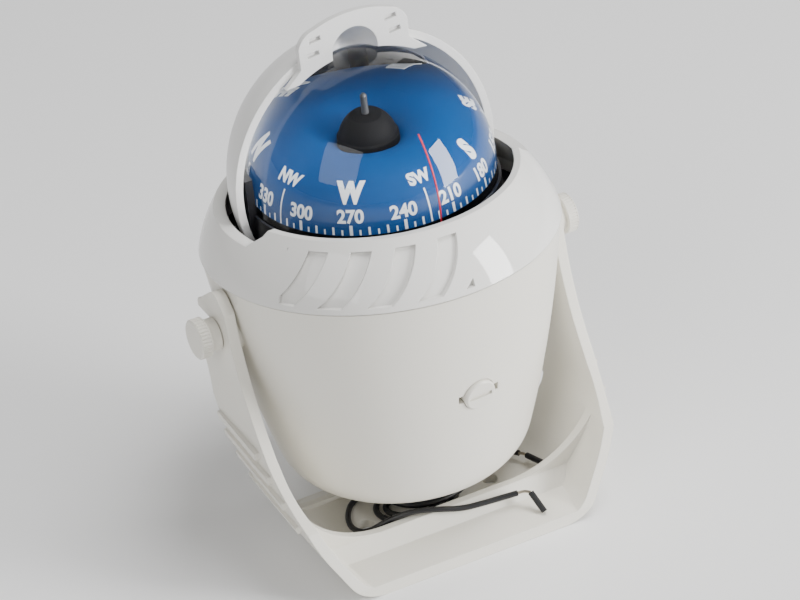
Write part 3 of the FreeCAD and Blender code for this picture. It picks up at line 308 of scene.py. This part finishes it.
DOME_R = 37.0                # outer radius of the dome
FLANGE_R = 41.3              # radius of the dome's foot
FOOT_LOW = 16.25             # the foot's underside and top, over the tilt axis
FOOT_HIGH = 17.75
OIL_R = 35.5                 # radius and floor of the oil's room
OIL_LOW = -4.0
EASE = 0.02                  # the foot's top rises this much towards the wall
DOME_STEPS = 48


def lathe(name, outline, material, segments=160):
    """A closed solid turned about the bowl's axis from an outline of (radius, height)."""
    build = bmesh.new()
    rings = []
    for radius, height in outline:
        if radius < 1e-6:
            rings.append([build.verts.new(bowl_point(0, 0, height))])
            continue
        ring = []
        for step in range(segments):
            turn = 2 * math.pi * step / segments
            ring.append(build.verts.new(
                bowl_point(radius * math.cos(turn), radius * math.sin(turn), height)))
        rings.append(ring)
    for before, after in zip(rings, rings[1:]):
        for i in range(segments):
            j = (i + 1) % segments
            if len(before) == 1:
                build.faces.new((before[0], after[j], after[i]))
            elif len(after) == 1:
                build.faces.new((before[i], before[j], after[0]))
            else:
                build.faces.new((before[i], before[j], after[j], after[i]))
    bmesh.ops.recalc_face_normals(build, faces=build.faces)
    mesh = bpy.data.meshes.new(name)
    build.to_mesh(mesh)
    build.free()
    mesh.polygons.foreach_set("use_smooth", [True] * len(mesh.polygons))
    mesh.materials.append(material)
    piece = bpy.data.objects.new(name, mesh)
    bpy.context.scene.collection.objects.link(piece)
    return piece


def make_lens(material):
    """The dome and the oil in it as one clear solid, so the dial looks as large as it does."""
    outline = [(0.0, OIL_LOW), (OIL_R, OIL_LOW), (OIL_R, FOOT_LOW), (FLANGE_R, FOOT_LOW),
               (FLANGE_R, FOOT_HIGH), (DOME_R, FOOT_HIGH + EASE), (DOME_R, dome_lift)]
    for step in range(1, DOME_STEPS + 1):
        turn = math.pi / 2 * step / DOME_STEPS
        outline.append((DOME_R * math.cos(turn) if step < DOME_STEPS else 0.0,
                        dome_lift + DOME_R * math.sin(turn)))
    lens = lathe("dome_lens", outline, material)
    lens.visible_shadow = False
    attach(lens, "bowl")
    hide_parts("dome")


# ---------------------------------------------------------------- leads

# Routes are in millimetres in the row frame: down from the bowl's grommet, then from the
# loose turns to the stripped end.
LEAD_R = 0.9
LEFT_DROP = [(-1.15, 8.81, 7.94), (-1.2, 8.75, 6.3), (-1.9, 8.78, 4.9), (-3.2, 8.85, 4.05),
             (-6.3, 8.9, 3.93), (-9.9, 9.1, 3.93)]
LEFT_RUN = [(-5.5, 16.4, 3.93), (-13.0, 16.8, 3.95), (-20.4, 15.4, 4.05), (-25.2, 9.4, 4.1),
            (-27.4, 2.4, 4.4), (-25.4, -4.2, 6.0), (-19.6, -6.9, 10.0), (-12.6, -10.4, 13.0),
            (-5.4, -12.9, 12.4), (2.2, -14.6, 10.6), (9.0, -15.4, 10.4), (15.0, -15.9, 10.3),
            (20.3, -16.7, 10.5)]
RIGHT_DROP = [(1.15, 8.81, 7.94), (1.17, 8.8, 7.02), (1.63, 8.8, 6.23), (2.42, 8.9, 5.77),
              (4.4, 9.5, 5.77), (7.4, 10.6, 5.77)]
RIGHT_RUN = [(5.0, 18.3, 5.77), (12.0, 17.9, 5.75), (19.2, 15.8, 5.4), (26.2, 13.2, 5.4),
             (32.0, 10.0, 6.0), (33.6, 6.1, 6.5)]


TURN_STEP = 26               # degrees between the points of a loose turn
SWAY = 0.5                   # how far the turns wander from an even spiral, and how often
SWAY_RATE = 2.6


def loose_turns(middle, inner, outer, first, last, height):
    """Points of a flat oval spiral, from an inner oval out to an outer one."""
    count = round(abs(last - first) / TURN_STEP)
    points = []
    for step in range(count + 1):
        share = step / count
        turn = math.radians(first + (last - first) * share)
        sway = SWAY * math.sin(SWAY_RATE * turn)
        long_r = inner[0] + (outer[0] - inner[0]) * share
        short_r = inner[1] + (outer[1] - inner[1]) * share
        points.append((middle[0] + (long_r + sway * share * (1 - share)) * math.cos(turn),
                       middle[1] + short_r * math.sin(turn), height))
    return points


def make_lead(name, route, material, replaced):
    """One lead, as a smooth line through its route."""
    curve = bpy.data.curves.new(name, "CURVE")
    curve.dimensions = "3D"
    spline = curve.splines.new("NURBS")
    spline.points.add(len(route) - 1)
    for point, spot in zip(spline.points, route):
        point.co = (*(value * MM for value in spot), 1.0)
    spline.order_u = 3
    spline.use_endpoint_u = True
    spline.resolution_u = 8
    curve.bevel_depth = LEAD_R * MM
    curve.bevel_resolution = 5
    curve.use_fill_caps = True
    curve.materials.append(material)
    lead = bpy.data.objects.new(name, curve)
    bpy.context.scene.collection.objects.link(lead)
    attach(lead, "bracket")
    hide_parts(*replaced)


def make_leads(material):
    left = LEFT_DROP + loose_turns((-4.0, 5.5), (9.5, 6.3), (15.4, 10.8), 155, 800, 3.93)
    left += LEFT_RUN
    right = RIGHT_DROP + loose_turns((2.5, 8.0), (8.8, 5.75), (14.5, 10.3), 22, -978, 5.77)
    right += RIGHT_RUN
    make_lead("lead_left", left, material,
              ["lead_left_drop", "lead_left_coil", "lead_left_run"])
    make_lead("lead_right", right, material,
              ["lead_right_drop", "lead_right_coil", "lead_right_run"])


# ---------------------------------------------------------------- stage, lights and camera

def make_floor():
    """A plain white sheet under the object."""
    mesh = bpy.data.meshes.new("floor")
    half = 6.0                # metres
    mesh.from_pydata([(-half, -half, 0), (half, -half, 0), (half, half, 0), (-half, half, 0)],
                     [], [(0, 1, 2, 3)])
    mesh.materials.append(shader("floor_paper", (0.92, 0.92, 0.92), 0.9))
    floor = bpy.data.objects.new("floor", mesh)
    bpy.context.scene.collection.objects.link(floor)


def make_world():
    """Even light from all around."""
    world = bpy.data.worlds.new("studio")
    world.use_nodes = True
    background = world.node_tree.nodes["Background"]
    background.inputs["Color"].default_value = (1.0, 1.0, 1.0, 1.0)
    background.inputs["Strength"].default_value = 0.28
    bpy.context.scene.world = world


def add_light(name, spot, power, width, height, target, mirrored=True):
    """A soft rectangular light; one that isn't mirrored shows in no reflection."""
    light = bpy.data.lights.new(name, "AREA")
    light.shape = "RECTANGLE"
    light.size = width
    light.size_y = height
    light.energy = power
    holder = bpy.data.objects.new(name, light)
    holder.visible_glossy = mirrored
    holder.location = spot
    aim = Vector(target) - Vector(spot)
    holder.rotation_euler = aim.to_track_quat("-Z", "Y").to_euler()
    bpy.context.scene.collection.objects.link(holder)


def make_lights():
    """Three soft lights aimed at the middle of the object."""
    target = (0.0, 0.02, 0.08)
    add_light("side_left", (-1.05, -0.57, 0.85), 7.0, 0.9, 0.9, target)
    add_light("key_right", (0.82, -0.75, 0.33), 19.0, 0.34, 0.7, target)
    add_light("top", (0.35, -0.1, 1.25), 13.0, 0.7, 0.6, target, mirrored=False)


CAMERA_AZIMUTH = 25.52       # degrees round to the left of the object's front
CAMERA_ELEVATION = 32.73
CAMERA_ROLL = -4.50
CAMERA_REACH = 1.14199       # metres from the tilt axis


def make_camera():
    """A long lens that looks down at the object's front left."""
    camera = bpy.data.cameras.new("camera")
    camera.lens = 171.1
    camera.sensor_width = 36.0
    camera.shift_x = 0.0180
    camera.shift_y = -0.0319
    camera.clip_start = 0.05
    camera.clip_end = 50.0
    holder = bpy.data.objects.new("camera", camera)
    azimuth = math.radians(CAMERA_AZIMUTH)
    elevation = math.radians(CAMERA_ELEVATION)
    roll = math.radians(CAMERA_ROLL)
    towards = Vector((-math.sin(azimuth) * math.cos(elevation),
                      -math.cos(azimuth) * math.cos(elevation), math.sin(elevation)))
    level = Vector((math.cos(azimuth), -math.sin(azimuth), 0.0))
    right = level * math.cos(roll) + towards.cross(level) * math.sin(roll)
    turn = Matrix((right, towards.cross(right), towards)).transposed().to_4x4()
    holder.matrix_world = Matrix.Translation(pivot + towards * CAMERA_REACH) @ turn
    bpy.context.scene.collection.objects.link(holder)
    bpy.context.scene.camera = holder


make_camera()
materials = make_materials()
finish_nodes(materials)
make_marks(materials["marks"])
make_lens(materials["lens"])
make_leads(materials["lead"])
make_floor()
make_world()
make_lights()
